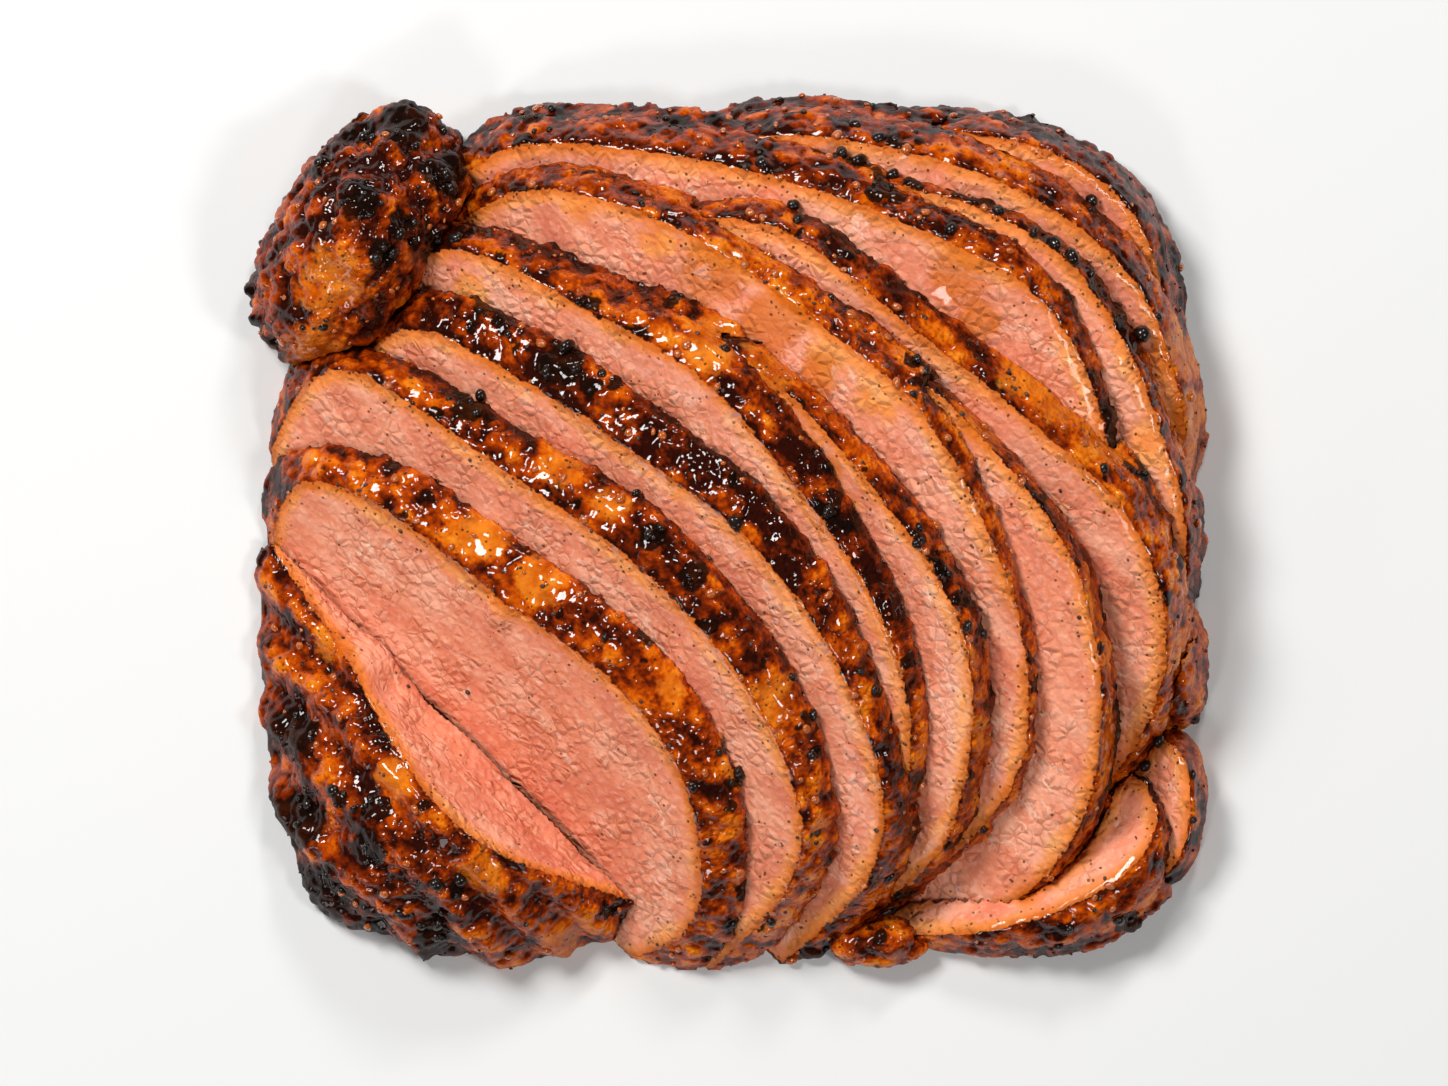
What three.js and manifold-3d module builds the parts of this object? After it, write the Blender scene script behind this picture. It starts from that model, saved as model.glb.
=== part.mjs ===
// A glazed ham, spiral cut and fanned out: a crusted heel at the near left, twelve slices that lean
// back on one another, the shank knuckle at the far left and loose trimmings along the right side.
// Millimetres, +Z up. The ham lies on the plane z = 0 and the origin is under the middle of it.
import * as THREE from "three";
import { mergeVertices } from "three/addons/utils/BufferGeometryUtils.js";
import Module from "manifold-3d";

const wasm = await Module();
wasm.setup();

// ---- Driving dimensions -------------------------------------------------------------------------

const CLEARANCE = 0.35; // air between pieces that rest on each other
const EDGE_STEPS = 30; // facets along a slice's edge
const RIM_SWELL = 0.16; // how far a crusted rim rounds out, as a share of its width
const SLICE_DEPTH = 13; // straight down, from a cut face to where the rim has its full width
const FOOT = 40; // how far a slice's outline runs on under the ham, below its two ends
const MIDDLE = [1, -1.3]; // the middle of the ham, in the plan that the edges below are drawn in

// A slice's cut face is a plane that climbs at `tilt` degrees towards `leanTo`, an angle from +X.
// `edge` is where that face meets the crust, seen from above and running from the slice's left end
// over its crest to its right end. `crest` is the height of the edge's highest point. `rim` is how
// wide the crust shows at even steps along that line.
const SLICES = [
  {
    name: "slice_01", leanTo: 42, tilt: 45, crest: 36, rim: [5, 10, 12, 11, 9],
    edge: [
      [-93, -12], [-88, 8], [-72, 6], [-46, -13], [-20, -33],
      [-8, -52], [-5, -72], [-9, -82], [-20, -87],
    ],
  },
  {
    name: "slice_02", leanTo: 41, tilt: 43, crest: 42, rim: [2, 7, 11, 9, 5],
    edge: [
      [-93, 4], [-90, 21], [-76, 32], [-42, 10], [-17, -8],
      [5, -33], [15, -58], [11, -74], [0, -86],
    ],
  },
  {
    name: "slice_03", leanTo: 41, tilt: 41, crest: 45, rim: [4, 11, 10, 7, 5],
    edge: [
      [-84, 20], [-66, 40], [-43, 31], [-17, 14], [4, -2],
      [21, -25], [31, -52], [28, -71], [12, -87],
    ],
  },
  {
    name: "slice_04", leanTo: 39, tilt: 39, crest: 45, rim: [4, 7, 10, 5, 4],
    edge: [
      [-82, 34], [-70, 50], [-53, 56], [-25, 42], [-4, 29],
      [17, 4], [31, -18], [37, -42], [32, -64], [18, -83],
    ],
  },
  {
    name: "slice_05", leanTo: 36, tilt: 39, crest: 45, rim: [4, 5, 6, 4, 4],
    edge: [
      [-60, 34], [-46, 45], [-24, 44], [-4, 38], [13, 26],
      [33, 3], [46, -18], [49, -40], [42, -66], [20, -82],
    ],
  },
  {
    name: "slice_06", leanTo: 40, tilt: 33, crest: 46, rim: [5, 6, 7, 3, 3],
    edge: [
      [-72, 36], [-62, 54], [-40, 68], [-10, 60], [15, 43],
      [38, 24], [53, -3], [60, -28], [56, -54], [26, -83],
    ],
  },
  {
    name: "slice_07", leanTo: 42, tilt: 30, crest: 43, rim: [3, 3, 3, 3],
    edge: [
      [28, 18], [35, 29], [43, 26], [58, 10], [70, -9],
      [75, -35], [71, -59], [58, -75], [36, -83],
    ],
  },
  {
    name: "slice_08", leanTo: 51, tilt: 30, crest: 38, rim: [4, 4, 7, 8, 4, 2],
    edge: [
      [-66, 34], [-54, 52], [-32, 60], [-8, 62], [12, 59], [38, 39],
      [62, 20], [81, 1], [88, -24], [80, -47], [58, -70],
    ],
  },
  {
    name: "slice_09", leanTo: 53, tilt: 27, crest: 38, rim: [3, 6, 8, 7, 3, 2],
    edge: [
      [-74, 46], [-62, 62], [-45, 76], [-20, 76], [10, 70], [40, 59],
      [60, 48], [71, 33], [77, 10], [74, -12], [60, -44],
    ],
  },
  {
    name: "slice_10", leanTo: 48, tilt: 24, crest: 34, rim: [2, 2, 3, 3, 3],
    edge: [
      [-54, 46], [-40, 62], [-14, 70], [20, 70], [45, 66], [65, 56],
      [78, 40], [87, 19], [92, 0], [89, -18], [72, -46],
    ],
  },
  {
    name: "slice_11", leanTo: 59, tilt: 24, crest: 29, rim: [4, 5, 7, 4, 3],
    edge: [
      [-62, 54], [-40, 66], [-14, 74], [12, 79], [45, 73],
      [66, 63], [82, 49], [90, 30], [91, 11], [77, -26],
    ],
  },
  {
    name: "slice_12", leanTo: 59, tilt: 24, crest: 22, rim: [3, 4, 4, 3],
    edge: [[-12, 64], [12, 74], [32, 79], [50, 79], [66, 75], [80, 65], [87, 50], [89, 30], [86, 6]],
  },
];

// Two slices that slid down at the near right. Their faces climb outwards.
const FALLEN = [
  {
    name: "fallen_end", leanTo: 5, tilt: 35, crest: 14, rim: [3, 3, 3],
    edge: [[72, -38], [88, -42], [93, -50], [91, -66], [80, -74]],
  },
  {
    name: "fallen_slice", leanTo: -50, tilt: 34, crest: 18, rim: [3, 5, 8, 5, 3],
    edge: [[76, -44], [86, -54], [83, -66], [70, -75], [52, -81], [36, -82]],
  },
];

// The heel is the ham's crusted near end. Its own cut face climbs away from the slices.
const HEEL = {
  name: "heel", leanTo: 227, tilt: 57, crest: 29,
  edge: [[-92, -3], [-79, -22], [-67, -42], [-57, -56], [-45, -65], [-30, -71], [-14, -76]],
  foot: [[-95, -4], [-94, -32], [-91, -55], [-82, -76], [-62, -84], [-38, -87], [-15, -79]],
};

// Crusted lumps. `power` squares the plan off, and `turn` is in degrees.
const LUMPS = [
  { name: "shank_knuckle", centre: [-73, 58, 4], half: [17.5, 28, 32], power: 2.3, turn: -30 },
  { name: "trimming_right", centre: [88, -25, 2], half: [8.5, 15, 20], power: 2.2, turn: 8 },
  { name: "trimming_front", centre: [31, -83, 1], half: [10, 5, 9], power: 2.2, turn: 4 },
];

// ---- Helpers ------------------------------------------------------------------------------------

const rad = THREE.MathUtils.degToRad;

// A closed three.js geometry as a solid that can be joined and cut.
function solidOf(geometry) {
  const bare = geometry.clone();
  bare.deleteAttribute("normal");
  bare.deleteAttribute("uv");
  const merged = mergeVertices(bare, 1e-4);
  return new wasm.Manifold(
    new wasm.Mesh({
      numProp: 3,
      vertProperties: merged.attributes.position.array,
      triVerts: new Uint32Array(merged.index.array),
    }),
  );
}

function largestBody(solid) {
  return solid.decompose().reduce((a, b) => (b.volume() > a.volume() ? b : a));
}

// A closed body through rings of [x, y, z] points that run anticlockwise, the top ring first.
function loft(rings) {
  const count = rings[0].length;
  const triangles = [];
  for (let r = 0; r + 1 < rings.length; r++) {
    for (let i = 0; i < count; i++) {
      const j = (i + 1) % count;
      const [a, b, c, d] = [r * count + i, r * count + j, (r + 1) * count + j, (r + 1) * count + i];
      triangles.push(a, d, b, b, d, c);
    }
  }
  const cap = (ring) =>
    THREE.ShapeUtils.triangulateShape(ring.map(([x, y]) => new THREE.Vector2(x, y)), []);
  const last = (rings.length - 1) * count;
  for (const [a, b, c] of cap(rings[0])) triangles.push(a, b, c);
  for (const [a, b, c] of cap(rings.at(-1))) triangles.push(last + a, last + c, last + b);
  const geometry = new THREE.BufferGeometry();
  geometry.setAttribute("position", new THREE.Float32BufferAttribute(rings.flat(2), 3));
  geometry.setIndex(triangles);
  return geometry;
}

// Points along a smooth line, from its last point to its first, with the way out of the ham at each.
function edgePoints(edge) {
  const line = new THREE.SplineCurve(edge.map(([x, y]) => new THREE.Vector2(x, y)));
  return Array.from({ length: EDGE_STEPS + 1 }, (_, i) => {
    const along = 1 - i / EDGE_STEPS;
    const tangent = line.getTangentAt(along);
    return { along, at: line.getPointAt(along), out: new THREE.Vector2(-tangent.y, tangent.x) };
  });
}

// The height of a cut face above a point of the plan.
function cutPlane({ leanTo, tilt, crest }, points) {
  const back = new THREE.Vector2(Math.cos(rad(leanTo)), Math.sin(rad(leanTo)));
  const furthest = Math.max(...points.map((p) => p.at.dot(back)));
  const height = (p) => crest + (p.dot(back) - furthest) * Math.tan(rad(tilt));
  return { back, height };
}

const floor = solidOf(new THREE.BoxGeometry(600, 600, 200).translate(0, 0, -100));

// ---- Slices -------------------------------------------------------------------------------------

// A slab from the cut face down. Its rim flares and swells, and each ring lies a share deeper.
function slab(slice, grow = 0) {
  const points = edgePoints(slice.edge);
  const { back, height } = cutPlane(slice, points);
  const rim = new THREE.SplineCurve(slice.rim.map((width) => new THREE.Vector2(0, width)));
  const rings = [0, 0.35, 0.7, 1, 1.4].map((share) => {
    const swell = share + RIM_SWELL * Math.sin(Math.PI * Math.min(share, 1));
    const ring = points.map(({ along, at, out }) =>
      at.clone().addScaledVector(out, rim.getPoint(along).y * swell + grow),
    );
    for (const end of [ring.at(-1), ring[0]]) ring.push(end.clone().addScaledVector(back, -FOOT));
    return ring.map((p) => [p.x, p.y, height(p) + 1.3 * grow - share * (SLICE_DEPTH + 2 * grow)]);
  });
  return solidOf(loft(rings));
}

// ---- Heel ---------------------------------------------------------------------------------------

// From the cut's edge the crust rounds over and down to the heel's foot.
function heelSolid() {
  const top = edgePoints(HEEL.edge).reverse();
  const foot = edgePoints(HEEL.foot).reverse();
  const { back, height } = cutPlane(HEEL, top);
  const rings = [0, 18, 38, 58, 76, 90].map((angle) => {
    const out = Math.sin(rad(angle));
    const ring = top.map(({ at }, i) => {
      const p = at.clone().lerp(foot[i].at, out);
      return [p.x, p.y, height(at) * Math.cos(rad(angle)) - 2 * out];
    });
    for (const i of [top.length - 1, 0]) {
      const p = top[i].at.clone().addScaledVector(back, -30);
      ring.push([p.x, p.y, height(p) - 2 * out]);
    }
    return ring;
  });
  return solidOf(loft(rings));
}

// ---- Lumps --------------------------------------------------------------------------------------

function lumpSolid({ centre, half, power, turn }) {
  const geometry = new THREE.SphereGeometry(1, 26, 14);
  const p = geometry.attributes.position;
  const v = new THREE.Vector3();
  for (let i = 0; i < p.count; i++) {
    v.fromBufferAttribute(p, i);
    const [x, y, z] = [v.x, v.z, v.y]; // the sphere's pole is its y axis
    const round = Math.hypot(x, y) || 1;
    const square = (Math.abs(x / round) ** power + Math.abs(y / round) ** power) ** (1 / power) || 1;
    const bump = 1 + 0.04 * Math.sin(5 * x + 1.3) * Math.sin(4 * y + 0.4) * Math.sin(5 * z + 2.1);
    p.setXYZ(i, (-x * half[0] * bump) / square, (y * half[1] * bump) / square, z * half[2] * bump);
  }
  geometry.rotateZ(rad(turn)).translate(...centre);
  return solidOf(geometry);
}

// ---- The ham ------------------------------------------------------------------------------------

const CUT_MEAT = new THREE.MeshStandardMaterial({ color: 0xe0957c, roughness: 0.45, metalness: 0 });
const CRUST = new THREE.MeshStandardMaterial({ color: 0x9a4415, roughness: 0.3, metalness: 0 });

function meshOf(name, solid, material) {
  const { numProp, numVert, vertProperties, triVerts } = solid.getMesh();
  const positions = new Float32Array(numVert * 3);
  for (let i = 0; i < numVert; i++) {
    positions.set(vertProperties.subarray(i * numProp, i * numProp + 3), i * 3);
  }
  const geometry = new THREE.BufferGeometry();
  geometry.setAttribute("position", new THREE.BufferAttribute(positions, 3));
  geometry.setIndex(new THREE.BufferAttribute(new Uint32Array(triVerts), 1));
  geometry.translate(-MIDDLE[0], -MIDDLE[1], 0);
  geometry.computeVertexNormals();
  const mesh = new THREE.Mesh(geometry, material);
  mesh.name = name;
  return mesh;
}

const ham = new THREE.Group();

// Adds a piece, cut back by what it leans on.
function addPiece(name, solid, others, material) {
  const cut = others.reduce((rest, other) => rest.subtract(other), solid.subtract(floor));
  ham.add(meshOf(name, largestBody(cut), material));
}

const kept = SLICES.map((slice) => slab(slice, CLEARANCE));
addPiece(HEEL.name, heelSolid(), kept, CRUST);
SLICES.forEach((slice, i) => addPiece(slice.name, slab(slice), kept.slice(i + 1), CUT_MEAT));
for (const slice of FALLEN) {
  addPiece(slice.name, slab(slice), kept, CUT_MEAT);
  kept.push(slab(slice, CLEARANCE));
}
for (const lump of LUMPS) addPiece(lump.name, lumpSolid(lump), kept, CRUST);

export default ham;
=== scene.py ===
import bmesh
import bpy
import numpy as np
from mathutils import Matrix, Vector
from mathutils.bvhtree import BVHTree


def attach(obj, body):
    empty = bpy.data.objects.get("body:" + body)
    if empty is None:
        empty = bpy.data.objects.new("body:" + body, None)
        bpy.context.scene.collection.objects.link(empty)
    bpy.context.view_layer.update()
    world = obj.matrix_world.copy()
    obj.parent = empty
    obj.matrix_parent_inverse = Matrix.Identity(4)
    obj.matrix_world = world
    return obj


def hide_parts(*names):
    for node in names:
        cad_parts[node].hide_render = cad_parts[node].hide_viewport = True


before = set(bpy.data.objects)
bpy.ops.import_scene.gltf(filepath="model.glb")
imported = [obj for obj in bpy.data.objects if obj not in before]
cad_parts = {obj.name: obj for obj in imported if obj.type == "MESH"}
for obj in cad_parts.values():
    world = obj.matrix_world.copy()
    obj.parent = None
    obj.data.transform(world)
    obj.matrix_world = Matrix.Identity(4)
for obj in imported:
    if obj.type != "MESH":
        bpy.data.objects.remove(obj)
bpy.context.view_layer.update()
MM = 0.001

# ---- Cut meat and crust --------------------------------------------------------------------------
# The cured leg itself: pink muscle in fine bundles under a band of amber fat, and a rind that was
# glazed with sugar and spice and roasted dark. All the pieces share this finish, and marks on their
# points tell it how far each place is from the edge of the cut, and where fat, gold and char lie.


class Shade:
    """A socket of a material's nodes. Python's operators on it add Math nodes."""

    def __init__(self, tree, socket=None):
        self.tree = tree
        self.socket = socket

    def node(self, kind, inputs=None, output=0, stops=None, **settings):
        """A new node of some kind. Its inputs take plain values or other sockets."""
        node = self.tree.nodes.new(kind)
        for name, value in settings.items():
            setattr(node, name, value)
        if stops:
            ramp = node.color_ramp
            for _ in stops[2:]:
                ramp.elements.new(0.5)
            for element, (place, colour) in zip(ramp.elements, stops):
                element.position = place
                element.color = (*colour, 1)
        for key, value in (inputs or {}).items():
            if isinstance(value, Shade):
                self.tree.links.new(value.socket, node.inputs[key])
            else:
                node.inputs[key].default_value = value
        return Shade(self.tree, node.outputs[output]) if node.outputs else None

    def maths(self, operation, *values):
        return self.node("ShaderNodeMath", dict(enumerate(values)), operation=operation)

    def __add__(self, other):
        return self.maths("ADD", self, other)

    def __sub__(self, other):
        return self.maths("SUBTRACT", self, other)

    def __mul__(self, other):
        return self.maths("MULTIPLY", self, other)

    def __rsub__(self, other):
        return self.maths("SUBTRACT", other, self)

    __radd__ = __add__
    __rmul__ = __mul__

    def step(self, low, high, bottom=0.0, top=1.0):
        """From bottom to top as the value goes from low to high, smoothly."""
        return self.node(
            "ShaderNodeMapRange",
            {0: self, 1: low, 2: high, 3: bottom, 4: top},
            interpolation_type="SMOOTHSTEP",
        )

    def mix(self, under, over, blend="MIX"):
        """Colour over laid on colour under, by this value."""
        colours = {6: under, 7: over}
        for key, value in colours.items():
            if not isinstance(value, Shade):
                colours[key] = (*value, 1)
        inputs = {0: self, **colours}
        return self.node("ShaderNodeMix", inputs, output=2, data_type="RGBA", blend_type=blend)

    def colours(self, stops):
        """A colour for the value, from stops of (value, colour)."""
        return self.node("ShaderNodeValToRGB", {0: self}, stops=stops)

    def stretch(self, x, y, z):
        """The place, scaled along each axis."""
        inputs = {0: self, 1: (x, y, z)}
        return self.node("ShaderNodeVectorMath", inputs, operation="MULTIPLY")

    def warp(self, push, amount):
        """The place, pushed about by a noise's colour, by some millimetres."""
        inputs = {0: push, 1: (amount * MM,) * 3, 2: self}
        return self.node("ShaderNodeVectorMath", inputs, operation="MULTIPLY_ADD")

    def noise(self, size, detail=2, rough=0.5, output=0):
        """Cloudy noise of a size in millimetres."""
        inputs = {"Vector": self, "Scale": 1 / (size * MM), "Detail": detail, "Roughness": rough}
        return self.node("ShaderNodeTexNoise", inputs, output=output)

    def cells(self, size, feature="F1"):
        """Cells of a size in millimetres."""
        inputs = {"Vector": self, "Scale": 1 / (size * MM)}
        return self.node("ShaderNodeTexVoronoi", inputs, feature=feature)


def new_material(name):
    """An empty material, and a start for its nodes."""
    material = bpy.data.materials.new(name)
    material.use_nodes = True
    material.node_tree.nodes.clear()
    return material, Shade(material.node_tree)


def surface(start, inputs):
    """Ends a material's nodes with its one surface."""
    paint = start.node("ShaderNodeBsdfPrincipled", inputs)
    paint.node("ShaderNodeOutputMaterial", {"Surface": paint})


ham, start = new_material("ham")


def mark(name, output=2):
    """A value that each point of the mesh carries."""
    return start.node("ShaderNodeAttribute", output=output, attribute_name=name)


place = start.node("ShaderNodeTexCoord", output=3)
grain = mark("grain", 1)  # the place with x along the slice, y across it and z through it
edge = mark("edge")  # millimetres inside the cut's edge, and less than 0 on the crust
height = mark("lump")  # 0 between the blisters of the crust and about 1 on top of them
# how dark the rind is: its own tone, with painted shade low on the sides and painted light towards
# the lower right
dark = mark("dark")
gold_mark = mark("gold")
char_mark = mark("char")

# Clouds of three sizes, shared by all that follows, and a push that bends straight things.
broad = place.noise(13, 3)
medium = place.noise(4.2, 3)
fine = place.noise(1.3, 1, 0.6)
push = place.noise(2.4, 1, output=1)
on_cut = (edge + (medium - 0.5) * 2.6 + (fine - 0.5) * 1.6).step(-0.2, 0.35)  # 0 on the crust

# Muscle: rose to pale pink in long soft bands, pebbled by its bundles, with a few pale seams.
bands = grain.stretch(0.35, 1, 1).warp(push, 2).noise(7, 3, 0.55)
MUSCLE_TONES = [
    (0.34, (0.69, 0.185, 0.105)),
    (0.5, (0.82, 0.270, 0.150)),
    (0.66, (0.94, 0.430, 0.280)),
]
muscle = (bands * 0.7 + broad * 0.3).colours(MUSCLE_TONES)
gap = place.cells(2.5, "DISTANCE_TO_EDGE")
cracked = medium.step(0.40, 0.55) * broad.step(0.38, 0.52)
# Painted shade: the thin cracks between the cells are darkened where the meat is cracked.
muscle = (gap.step(0.0, 0.10, 1.0, 0.0) * cracked * 0.5).mix(muscle, (0.45, 0.100, 0.040))
# Painted light: each cell is paler towards its middle, as if lit on its top.
muscle = (gap.step(0.12, 0.40) * 0.22).mix(muscle, (0.96, 0.47, 0.33))
# Painted highlights: small pale flecks scattered over the muscle.
muscle = (fine.step(0.52, 0.78) * 0.40).mix(muscle, (0.95, 0.56, 0.42))
seam = (bands - 0.52).maths("ABSOLUTE", bands - 0.52).step(0.0, 0.018, 1.0, 0.0)
muscle = (seam * broad.step(0.45, 0.6) * 0.7).mix(muscle, (0.95, 0.60, 0.44))

# Fat: a soft amber band inside the edge of the cut, and patches of it where the slice has more.
fat_width = 2.9 + (broad - 0.5) * 7.0 + (medium - 0.5) * 2.5
fat = (edge - fat_width).step(-1.7, 1.7, 1.0, 0.0)
fat_by_mark = (mark("fat") + (medium - 0.5) * 1.6 + (fine - 0.5) * 0.5).step(0.10, 1.0)
fat = fat.maths("MAXIMUM", fat, fat_by_mark)
FAT_TONES = [
    (0.30, (0.74, 0.170, 0.014)),
    (0.5, (0.90, 0.285, 0.052)),
    (0.70, (0.96, 0.435, 0.150)),
]
fat_colour = (medium * 0.6 + broad * 0.4).colours(FAT_TONES)
cut_colour = (fat * 0.85).mix(muscle, fat_colour)
# Glaze that ran on to the cut, and a brown line where the crust's juices soaked into its edge.
glazed = (gold_mark + (medium - 0.5) * 1.0).step(0.25, 0.9)
cut_colour = (glazed * 0.7).mix(cut_colour, (0.66, 0.150, 0.006))
soaked = (edge - (medium - 0.5) * 4 - (fine - 0.5) * 2).step(0.0, 2.6, 1.0, 0.0)
cut_colour = (soaked * 0.80).mix(cut_colour, (0.52, 0.092, 0.003))

# Crust: amber skin under a dark glaze of sugar and spice, and black char.
CRUST_TONES = [
    (0.04, (0.025, 0.003, 0.001)),
    (0.24, (0.150, 0.014, 0.001)),
    (0.44, (0.380, 0.044, 0.001)),
    (0.64, (0.640, 0.116, 0.002)),
    (0.95, (0.800, 0.238, 0.014)),
]
streaks = grain.stretch(0.5, 1, 1).warp(push, 1.5)
# Painted shade: the lump mark makes the hollows between the blisters darker and their tops lighter.
tone = (streaks.noise(5.0, 3, 0.55) - 0.5) * 2.0 + (fine - 0.5) * 0.4 + (height - 0.45) * 0.45
# The dark mark brings each slice's tone together with painted shade low on the sides and painted
# light towards the lower right.
tone = tone + (0.775 - dark) + gold_mark * 0.12
crust = tone.colours(CRUST_TONES)
GOLD_TONES = [(0.38, (0.46, 0.074, 0.002)), (0.68, (0.79, 0.235, 0.020))]
gold = (gold_mark + (medium - 0.5) * 1.1 + (fine - 0.5) * 0.5).step(0.40, 0.85)
crust = (gold * 0.65).mix(crust, medium.colours(GOLD_TONES))
char = (char_mark + (medium - 0.5) * 1.1 + (fine - 0.5) * 0.6).step(0.42, 0.66)
crust = (char * 0.94).mix(crust, (0.007, 0.0028, 0.0015))

# Ground pepper stuck all over the crust and fat, with a little of it on the muscle.
speck = place.warp(push, 0.8).cells(1.6).step(0.15, 0.25, 1.0, 0.0)
few = (medium + on_cut * (edge.step(2, 9) * -0.14)).step(0.44, 0.52)
colour = on_cut.mix(crust, cut_colour)
colour = (speck * few * 0.8).mix(colour, (0.035, 0.010, 0.004))

# Wet film: whole on the glazed crust, thin where that stands steep, and in patches on the cut.
rough = on_cut * (0.40 + (fine - 0.5) * 0.4) + (1 - on_cut) * (0.34 + char * 0.16)
wet = medium.step(0.46, 0.60)
steep = start.node("ShaderNodeNewGeometry", output=1)
steep = steep.node("ShaderNodeSeparateXYZ", {0: steep}, output=2).step(0.0, 0.55, 0.25, 1.0)
coat_on_cut = fat * 0.3 + wet * 0.40 + gold_mark * 0.5 + 0.15
coat = on_cut * coat_on_cut + (1 - on_cut) * (1 - char * 0.25) * steep

# Fine relief: low cells with cracks between them on the cut, and grit under the glaze.
cut_relief = gap.step(-0.10, 0.42) * (0.18 + cracked * 0.42) + fine * 0.26
grit = place.cells(1.05)
crust_relief = fine * 0.62 - grit * 0.58
relief = on_cut * cut_relief + (1 - on_cut) * (1 - gold_mark * 0.5) * crust_relief
bump = relief.node("ShaderNodeBump", {"Height": relief, "Distance": 0.9 * MM, "Strength": 1.0})
surface(
    start,
    {
        "Base Color": colour,
        "Roughness": rough,
        "Coat Weight": coat,
        "Coat Roughness": 0.05,
        "Coat IOR": 1.36,
        "Specular IOR Level": 0.0,
        "Normal": bump,
    },
)


# ---- Slices --------------------------------------------------------------------------------------
# Twelve slices that a spiral cutter made round the bone, fanned so that each leans on the next. The
# rind on their rims was scored, sugared and browned, so it stands up in blisters and knobs of char.

VOXEL = 1.2  # millimetres between the points of a piece's mesh
UNDERSIDE = -0.35  # a face whose normal points down more than this doesn't show
CUT_TILT = (0.25, 0.97)  # how far up the normal of a cut face points, at least and at most
FAR = 9.0  # millimetres to the edge of the cut, on a piece that is crust all round


def scramble(x, y, z, seed):
    """Random numbers from 0 to 1, one for each whole-number place."""
    # Large primes and shifts keep the numbers of places that lie side by side apart.
    h = (x * 73856093) ^ (y * 19349663) ^ (z * 83492791) ^ (seed * 2654435761)
    h = (h & 0x7FFFFFFF) * 1103515245 + 12345
    h = (h ^ (h >> 15)) & 0x7FFFFFFF
    h = (h * 48271) & 0x7FFFFFFF
    return ((h >> 7) & 0xFFFFF) / 0x100000


def clouds(points, size, seed, octaves=1):
    """Smooth noise from -1 to 1, of a size in millimetres."""
    total, weight, share = np.zeros(len(points)), 1.0, 0.0
    for octave in range(octaves):
        p = points / size * 2**octave + 17.3 * octave
        base = np.floor(p).astype(np.int64)
        f = p - base
        f = f * f * (3 - 2 * f)
        value = np.zeros(len(points))
        for corner in range(8):
            o = np.array([corner & 1, corner >> 1 & 1, corner >> 2 & 1])
            w = np.prod(np.where(o, f, 1 - f), axis=1)
            value += w * scramble(*(base + o).T, seed + octave)
        total += weight * (2 * value - 1)
        share += weight
        weight *= 0.5
    return total / share


def domes(points, size, seed, keep=1.0):
    """Round bumps from 0 to 1 packed at a spacing in millimetres, of uneven heights."""
    p = points / size
    base = np.floor(p).astype(np.int64)
    best = np.zeros(len(points))
    for dx in (-1, 0, 1):
        for dy in (-1, 0, 1):
            for dz in (-1, 0, 1):
                cell = base + (dx, dy, dz)
                jitter = np.stack([scramble(*cell.T, seed + k) for k in (1, 2, 3)], axis=1)
                tall = scramble(*cell.T, seed + 4)
                reach = 0.50 + 0.40 * tall
                d = np.linalg.norm(p - cell - jitter, axis=1) / reach
                dome = np.sqrt(np.clip(1 - d * d, 0, 1)) * (0.35 + 0.65 * tall) * (tall < keep)
                best = np.maximum(best, dome)
    return best


def ramp(values, low, high):
    """From 0 at low to 1 at high, smoothly."""
    t = np.clip((values - low) / (high - low), 0, 1)
    return t * t * (3 - 2 * t)


def cad_surfaces(node):
    """A CAD solid's points and triangles, which are its cut face, and the line round that."""
    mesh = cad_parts[node].data
    mesh.calc_loop_triangles()
    co = np.empty(len(mesh.vertices) * 3)
    mesh.vertices.foreach_get("co", co)
    tri = np.empty(len(mesh.loop_triangles) * 3, np.int64)
    mesh.loop_triangles.foreach_get("vertices", tri)
    places, same = np.unique(np.round(co.reshape(-1, 3) / MM, 3), axis=0, return_inverse=True)
    tri = same.reshape(-1)[tri].reshape(-1, 3)
    a, b, c = places[tri[:, 0]], places[tri[:, 1]], places[tri[:, 2]]
    normal = np.cross(b - a, c - a)
    area = np.linalg.norm(normal, axis=1)
    real = area > 1e-9  # leaves out slivers with no area
    tri, a, normal, area = tri[real], a[real], normal[real], area[real]
    normal /= area[:, None]
    best, cut = 0, np.zeros(len(tri), bool)
    for i in np.argsort(-area)[:40]:  # the cut face lies in the plane of one of the largest
        if CUT_TILT[0] < normal[i, 2] < CUT_TILT[1]:
            flat = (normal @ normal[i] > 0.9995) & (np.abs((a - a[i]) @ normal[i]) < 0.15)
            if area[flat].sum() > best:
                best, cut = area[flat].sum(), flat
    sides = {}
    for t, corners in enumerate(tri):
        for k in range(3):
            sides.setdefault(frozenset((corners[k], corners[k - 2])), []).append(t)
    line = []
    for ends, owners in sides.items():
        if len(owners) == 2 and cut[owners].sum() == 1:
            other = owners[0] if cut[owners[1]] else owners[1]
            if normal[other, 2] > UNDERSIDE:
                p, q = (places[e] for e in ends)
                count = max(2, int(np.linalg.norm(q - p) / 0.5))  # a place every half millimetre
                line.append(p + (q - p) * np.linspace(0, 1, count)[:, None])
    return places, tri, normal, cut, np.concatenate(line) if line else places


def read(mesh, what):
    """The places or the normals of a mesh's points, as rows."""
    values = np.empty(len(mesh.vertices) * 3)
    source, name = (mesh.vertices, "co") if what == "co" else (mesh.vertex_normals, "vector")
    source.foreach_get(name, values)
    return values.reshape(-1, 3)


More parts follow.
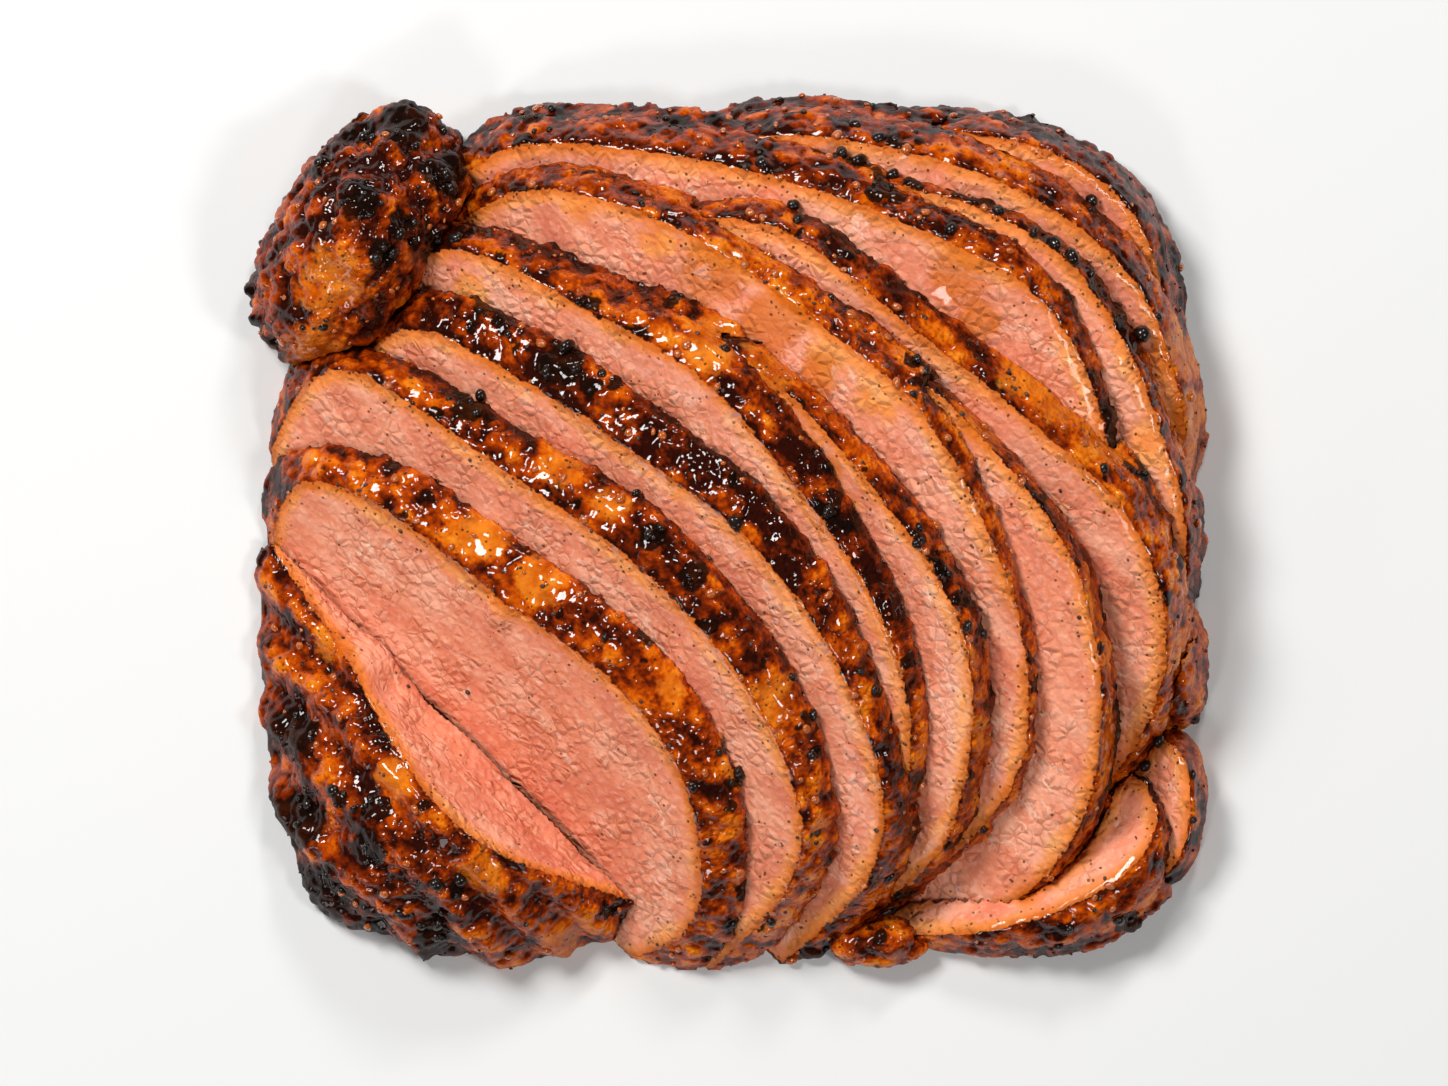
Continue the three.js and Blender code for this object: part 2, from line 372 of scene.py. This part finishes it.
def fine_mesh(node, tree, normal, cut):
    """An even, closed mesh of the solid, finer on the crust that shows."""
    piece = bpy.data.objects.new(node + "_look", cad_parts[node].data.copy())
    bpy.context.scene.collection.objects.link(piece)
    remesh = piece.modifiers.new("even", "REMESH")
    remesh.mode = "VOXEL"
    remesh.voxel_size = VOXEL * MM
    seen = bpy.context.evaluated_depsgraph_get()
    seen.update()
    made = bpy.data.meshes.new_from_object(piece.evaluated_get(seen))
    piece.modifiers.clear()
    piece.data = made
    near = [tree.find_nearest(p / MM)[2] for p in map(Vector, read(made, "co"))]
    rind = ~cut[near] & (normal[near, 2] > -0.3)  # nothing of the underside is made finer
    work = bmesh.new()
    work.from_mesh(made)
    split = [e for e in work.edges if rind[e.verts[0].index] or rind[e.verts[1].index]]
    bmesh.ops.subdivide_edges(work, edges=split, cuts=1, use_grid_fill=True)
    work.to_mesh(made)
    work.free()
    made.materials.clear()
    made.materials.append(ham)
    made.polygons.foreach_set("use_smooth", np.ones(len(made.polygons), bool))
    return piece


def patches(points, spots):
    """1 in the middle of each spot (x, y, radius), falling to 0 past its radius."""
    value = np.zeros(len(points))
    for x, y, radius in spots:
        d = np.hypot(points[:, 0] - x, points[:, 1] - y) / radius
        value = np.maximum(value, ramp(d, 1.25, 0.25))
    return value


crusts, tops = [], []


def dress(
    node, seed, dark=0.5, fat=(), gold=(), char=(), swell=(), folds=0, rugged=1.0, all_crust=False
):
    """A piece's look: finds its cut and its crust, raises their relief and marks their colours.

    fat, gold and char are spots (x, y, radius), and swell has spots with a rise as well, all in
    millimetres. folds is the height of the creases across the crust."""
    places, tri, normal, cut, line = cad_surfaces(node)
    tree = BVHTree.FromPolygons(places.tolist(), tri.tolist())
    piece = fine_mesh(node, tree, normal, cut & (not all_crust))
    mesh = piece.data
    co, out = read(mesh, "co") / MM, read(mesh, "normal")
    count = len(co)
    nearest = np.array([tree.find_nearest(p)[2] for p in co.tolist()])
    on_cut = cut[nearest] & (not all_crust)
    under = normal[nearest, 2] < UNDERSIDE
    distance = np.full(count, 1e9)
    for begin in range(0, len(line), 64):
        gaps = np.linalg.norm(co[:, None] - line[None, begin : begin + 64], axis=2)
        distance = np.minimum(distance, gaps.min(axis=1))
    if all_crust:
        distance[:] = FAR
    signed = np.where(on_cut, distance, -distance)
    # Across the cut: the longest way of its edge first, its thinnest last.
    middle = line.mean(axis=0)
    along = np.linalg.svd(line - middle, full_matrices=False)[2]
    grain = (co - middle) @ along.T
    # Blisters, small blisters, knobs of char and broad hills, worked out on the crust only.
    crusty = ramp(-signed, -0.5, 0.8) * ~under
    rind = np.flatnonzero(crusty > 0)
    spot, streak = co[rind], grain[rind] * (0.35, 1, 1)
    lump, small, knob, hill = (np.zeros(count) for _ in range(4))
    lump[rind] = domes(spot, 3.3, seed + 30, 0.85)
    small[rind] = domes(spot, 1.6, seed + 40)
    knob[rind] = domes(spot, 4.2, seed + 50, 0.75)
    hill[rind] = 0.6 * clouds(spot, 10, seed + 10, 2) + 0.9 * clouds(streak, 5, seed + 15, 2)
    # Where the colours lie. Gold is smooth and free of char.
    gold_mark = patches(co, gold)
    flat = ramp(clouds(co, 13, seed + 80, 2), 0.05, 0.45)
    char_mark = ramp(clouds(co, 6, seed + 20, 3) + 0.25 * knob + dark * 0.7, 0.62, 1.0)
    char_mark = np.maximum(char_mark, patches(co, char)) * crusty * (1 - 0.85 * gold_mark)
    # The relief, in millimetres along the normals.
    spread = (1 - 0.6 * gold_mark) * (1 - 0.45 * flat)
    lift = spread * (1.0 * lump + 0.5 * small) + 0.7 * hill + 0.8 * char_mark * knob - 0.3
    across = 0.72 * co[:, 0] + 0.69 * co[:, 1]
    fold = folds * np.sin(across / 1.5 + 1.5 * clouds(co, 20, seed + 95))
    lift = (lift * rugged + fold) * crusty
    # Tone of the rind: lighter where gold or smooth, darker in the troughs of the folds and lighter
    # on their ridges, and uneven at random. On top of that it carries painted shade low on the
    # sides and painted light towards the lower right of the plan.
    tone_and_painted_light = 0.08 * ramp(co[:, 2], 20, 4) - 0.22 * gold_mark - 0.12 * flat - 0.1 * fold
    tone_and_painted_light += 0.1 * clouds(co, 22, seed + 90) - 0.13 * ramp(co[:, 0] - co[:, 1], 20, 90)
    wave = clouds(co, 16, seed + 60, 2) * 0.6 + clouds(co, 4, seed + 65) * 0.14
    lift += wave * on_cut * ramp(signed, 0, 3)
    for x, y, radius, rise in swell:
        lift += rise * patches(co, [(x, y, radius)])
    lift[under] = -0.05
    lift *= ramp(co[:, 2], 0.0, 2.5)  # the foot stays flat on the table
    co += out * lift[:, None]
    co[:, 2] = np.maximum(co[:, 2], 0.0)
    mesh.vertices.foreach_set("co", (co * MM).ravel())
    shades = {
        "edge": signed,
        "fat": patches(co, fat),
        "gold": gold_mark,
        "char": char_mark,
        "dark": dark + tone_and_painted_light,
        # heights of the blisters, which the material turns into painted shade in the hollows
        # between them
        "lump": (0.7 * lump + 0.5 * small) * crusty,
    }
    for name, values in shades.items():
        layer = mesh.attributes.new(name, "FLOAT", "POINT")
        layer.data.foreach_set("value", values.astype(np.float32))
    layer = mesh.attributes.new("grain", "FLOAT_VECTOR", "POINT")
    layer.data.foreach_set("vector", (grain * MM).astype(np.float32).ravel())
    mesh.update()
    tops.append(co)
    crusts.append(np.column_stack([co, out, signed, char_mark])[~under])
    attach(piece, "root")
    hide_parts(node)
    return piece


# How dark the rind of each slice is, and then its spots by slice number: (x, y, radius) in
# millimetres on plan, with a rise after them where the piece swells or sinks.
DARK = [0.46, 0.48, 0.60, 0.57, 0.54, 0.45, 0.54, 0.47, 0.56, 0.57, 0.52, 0.60]
FAT = {
    2: [(24, -62, 5), (26, -50, 4)],
    4: [(-62, 45, 7), (-52, 49, 5)],
    5: [(-80, 45, 6), (12, 18, 8), (20, 6, 6)],
    6: [(-50, 67, 5), (-30, 67, 6), (-14, 60, 6), (20, 36, 7), (30, 28, 8)],
    7: [(40, 14, 7), (46, 4, 6)],
    10: [(84, 18, 6), (92, 8, 6)],
    11: [(90, 30, 8), (92, 18, 8)],
}
GOLD = {
    1: [(-50, 0, 7), (-38, -9, 7), (-12, -30, 4), (2, -46, 5)],
    2: [(-34, 14, 6), (-24, 6, 5), (8, -32, 7)],
    4: [(-4, 38, 8)],
    5: [(-8, 48, 9), (8, 34, 9), (18, 12, 6)],
    6: [(6, 60, 7), (-4, 52, 9), (8, 43, 9), (18, 32, 6)],
    7: [(32, 40, 6), (50, 22, 8)],
    8: [(58, 32, 7), (66, 27, 7), (74, 19, 7)],
    9: [(45, 52, 8), (49, 43, 6)],
    11: [(88, 36, 7), (92, 24, 7)],
}
CHAR = {
    1: [(-52, -16, 3), (-17, -20, 3)],
    2: [(-52, 27, 6), (-16, 0, 4), (-8, -8, 4)],
    3: [(-62, 55, 5), (-48, 48, 6), (-34, 34, 6)],
    4: [(-30, 44, 6), (-20, 38, 5)],
    5: [(-60, 67, 4)],
    7: [(26, 56, 4), (10, 60, 4)],
    8: [(54, 57, 6), (62, 50, 6)],
    9: [(76, 22, 7), (68, 28, 5), (88, 2, 6)],
    10: [(58, 72, 5), (80, 44, 4)],
}
CREASE = [(-69 + 3 * t, -30 - 2.75 * t, 3.5, -0.9) for t in range(14)]  # slice 1 meets the heel
SWELL = {1: [(-46, -15, 3.5, 1.4), *CREASE], 5: [(2, 34, 9, 1.2)], 6: [(4, 50, 8, -0.8)]}
for i in range(12):
    extras = [table.get(i + 1, ()) for table in (FAT, GOLD, CHAR, SWELL)]
    piece = dress(f"slice_{i + 1:02d}", 100 * i + 7, DARK[i], *extras)


# ---- Heel and fallen slices ----------------------------------------------------------------------
# The heel is the near end of the ham, crust all round but for its own cut face. Two thin slices
# have slid off the fan at the near right and lie on their backs, with the same rind.

heel = dress(
    "heel",
    1501,
    0.53,
    gold=[(-50, -68, 6), (-80, -22, 5), (-68, -48, 5), (-34, -81, 6)],
    char=[(-88, -40, 7), (-88, -58, 9), (-84, -72, 9), (-72, -62, 5), (-74, -84, 8), (-60, -80, 5)],
    swell=[(-73, -25, 6, 1.6), (-60, -35, 5, -1.0), *CREASE],
    folds=1.1,
    rugged=1.2,
)
for seed, node in ((1601, "fallen_slice"), (1701, "fallen_end")):
    dress(node, seed, 0.55)


# ---- Knuckle and trimmings -----------------------------------------------------------------------
# A lump of crust from the shank end, behind the fan on the left, and two offcuts of crust that lie
# against its right and near edges. Amber fat shows on the knuckle's outer side.

knuckle = dress(
    "shank_knuckle",
    1801,
    0.62,
    gold=[(-83, 36, 9), (-80, 50, 10)],
    char=[(-66, 80, 6), (-59, 72, 5), (-74, 66, 5), (-70, 56, 4), (-66, 62, 4)],
    swell=[(-66, 80, 6, 2.5), (-59, 72, 5, 2.0), (-74, 66, 5, 1.8), (-80, 45, 9, -1.5)],
    rugged=1.8,
    all_crust=True,
)
for seed, node in ((1901, "trimming_right"), (2001, "trimming_front")):
    dress(node, seed, 0.45, rugged=1.4, all_crust=True)


# ---- Pepper, char beads and glaze drops ----------------------------------------------------------
# Cracked pepper and beads of burnt sugar sit on the rind where the glaze held them, and a few drops
# of glaze have run on to the cuts. Each kind is one mesh of small uneven lumps.

rng = np.random.default_rng(41)
REACH = 130  # millimetres from the middle, more than any piece has
COVER = 1.2  # millimetres that a place may lie below the highest one over the same spot
crusts, tops = np.concatenate(crusts), np.concatenate(tops)
roof = np.zeros((2 * REACH, 2 * REACH))
np.maximum.at(roof, tuple((tops[:, :2] + REACH).astype(int).T), tops[:, 2])
open_sky = crusts[:, 2] > roof[tuple((crusts[:, :2] + REACH).astype(int).T)] - COVER
crusts = crusts[open_sky]


def scatter(name, material, spots, small, large, flatness=0.75, sink=0.25):
    """Joins an uneven lump at each spot. small and large are diameters in millimetres, and sink is
    the share of a lump that lies in the crust."""
    ball = bmesh.new()
    bmesh.ops.create_icosphere(ball, subdivisions=2, radius=0.5)
    shell = np.array([v.co[:] for v in ball.verts])
    faces = np.array([[v.index for v in f.verts] for f in ball.faces])
    ball.free()
    points, polygons = [], []
    for i, spot in enumerate(spots):
        size = small + (large - small) * rng.random() ** 2
        bumpy = shell * (1 + 0.30 * clouds(shell + 7.1 * i, 0.45, 5)[:, None])
        up = Vector(spot[3:6]).normalized()
        turn = np.array(up.to_track_quat("Z", "Y").to_matrix())
        spin = rng.random() * 6.28
        c, s = np.cos(spin), np.sin(spin)
        spun = np.array([[c, -s, 0], [s, c, 0], [0, 0, 1]])
        shape = bumpy * (1, 0.6 + 0.4 * rng.random(), flatness) * size
        raised = np.array(up) * size * (0.5 - sink) * flatness
        points.append((shape @ spun.T) @ turn.T + spot[:3] + raised)
        polygons.append(faces + i * len(shell))
    mesh = bpy.data.meshes.new(name)
    mesh.from_pydata((np.concatenate(points) * MM).tolist(), [], np.concatenate(polygons).tolist())
    mesh.polygons.foreach_set("use_smooth", np.ones(len(mesh.polygons), bool))
    mesh.materials.append(material)
    piece = bpy.data.objects.new(name, mesh)
    bpy.context.scene.collection.objects.link(piece)
    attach(piece, "root")


def pick(count, weight):
    """Some of the crust's places, by chance, each as likely as its weight says."""
    weight = np.clip(weight, 0, None)
    return crusts[rng.choice(len(crusts), count, replace=False, p=weight / weight.sum())]


def plain(name, colour, rough, coat, sheen=0.5):
    """A material of one colour."""
    material, start = new_material(name)
    inputs = {"Base Color": (*colour, 1), "Roughness": rough, "Coat Weight": coat}
    surface(start, {**inputs, "Specular IOR Level": sheen})
    return material


# Where the whole peppercorns lie, in millimetres on plan.
CORNS = [(25, 74), (32, 72), (12, 65), (64, 58), (72, 67), (81, 40), (-33, 37), (-50, 28)]
CORNS += [(1.5, -47), (46, -18), (86, -42), (83, -46), (22, 76), (60, 60), (67, 55)]
near = [np.argmin(np.hypot(*(crusts[:, :2] - corn).T) - 0.02 * crusts[:, 2]) for corn in CORNS]
signed, charred = crusts[:, 6], crusts[:, 7]
rind = (signed < 0.3) * 1.0
high = (crusts[:, 2] > 9) * ramp(crusts[:, 5], 0.2, 0.6)
burnt = plain("burnt_sugar", (0.010, 0.004, 0.0025), rough=0.4, coat=0.7, sheen=0.1)
beads = pick(190, rind * high * (0.03 + charred**2))
scatter("char_beads", burnt, beads, small=1.0, large=3.2, sink=0.42)
corns = crusts[near]
scatter("peppercorns", burnt, corns, small=2.6, large=4.2, flatness=0.9, sink=0.3)
pepper = plain("cracked_pepper", (0.045, 0.014, 0.006), rough=0.55, coat=0.3)
grains = pick(900, rind + 0.35 * (signed < 5) + 0.08)
scatter("pepper", pepper, grains, small=0.35, large=1.1, flatness=0.6)
amber = plain("glaze", (0.42, 0.085, 0.006), rough=0.10, coat=1.0)
drops = pick(420, rind * (1.1 - charred) + 0.01)
scatter("glaze_beads", amber, drops, small=0.8, large=2.4, flatness=0.6, sink=0.35)


# ---- Table, light and camera ---------------------------------------------------------------------
# The ham lies on a pale table under soft studio lamps, seen from straight above.

board = bpy.data.meshes.new("table")
SIDE = 3.0  # metres from the ham to each side of the table
corners = [(-SIDE, -SIDE, 0), (SIDE, -SIDE, 0), (SIDE, SIDE, 0), (-SIDE, SIDE, 0)]
board.from_pydata(corners, [], [(0, 1, 2, 3)])
pale, start = new_material("pale_table")
middle = start.node("ShaderNodeTexCoord", output=3)
outwards = middle.node("ShaderNodeVectorMath", {0: middle}, output=1, operation="LENGTH")
glow = outwards.step(0.7, 2.2, 0.0, 0.55)  # makes up for the lamps' light, which falls off
glow = glow.mix((0.0, 0.0, 0.0), (1.0, 1.0, 1.0))
inputs = {"Base Color": (0.78, 0.78, 0.77, 1), "Roughness": 0.7, "Specular IOR Level": 0.2}
surface(start, {**inputs, "Emission Color": glow, "Emission Strength": 1.0})
board.materials.append(pale)
table = bpy.data.objects.new("table", board)
bpy.context.scene.collection.objects.link(table)

world = bpy.data.worlds.new("studio")
world.use_nodes = True
bpy.context.scene.world = world
world.node_tree.nodes.clear()
air = Shade(world.node_tree)
sky = air.node("ShaderNodeTexCoord", output=0)
rise = sky.node("ShaderNodeSeparateXYZ", {0: sky}, output=2)
rise = rise.maths("ABSOLUTE", rise).step(0.03, 0.09, 0.75, 0.06)  # pale only at the skyline
air = air.node("ShaderNodeBackground", {0: (1.0, 0.99, 0.97, 1), 1: rise})
air.node("ShaderNodeOutputWorld", {"Surface": air})


def lamp(name, place, size, power):
    """A square lamp, of a size in metres and a power in watts, that points at the ham."""
    light = bpy.data.lights.new(name, "AREA")
    light.shape = "SQUARE"
    light.size = size
    light.energy = power
    holder = bpy.data.objects.new(name, light)
    holder.location = place
    holder.rotation_euler = (-Vector(place)).to_track_quat("-Z", "Y").to_euler()
    bpy.context.scene.collection.objects.link(holder)


lamp("key", (-0.60, 0.62, 1.10), 0.37, 16.5)
lamp("fill", (0.70, -0.25, 1.10), 0.20, 4)
lamp("back", (0.25, 0.95, 0.80), 0.20, 4.5)
lamp("front", (-0.35, -0.75, 1.00), 0.18, 2.2)
lamp("low", (-0.85, -0.80, 0.38), 0.30, 1.4)

camera = bpy.data.objects.new("camera", bpy.data.cameras.new("camera"))
bpy.context.scene.collection.objects.link(camera)
DISTANCE = 2.5  # metres above the table
FRAME_WIDTH = 0.2896  # metres that the frame spans, at the middle height of the ham
MIDDLE_HEIGHT = 0.02
camera.location = (-0.0016, -0.0015, DISTANCE)
camera.data.sensor_width = 36
camera.data.lens = camera.data.sensor_width * (DISTANCE - MIDDLE_HEIGHT) / FRAME_WIDTH
camera.data.clip_end = 20
bpy.context.scene.camera = camera
bpy.context.scene.view_settings.view_transform = "Standard"
bpy.context.scene.cycles.max_bounces = 3
bpy.context.scene.cycles.diffuse_bounces = 2
bpy.context.scene.cycles.caustics_reflective = False
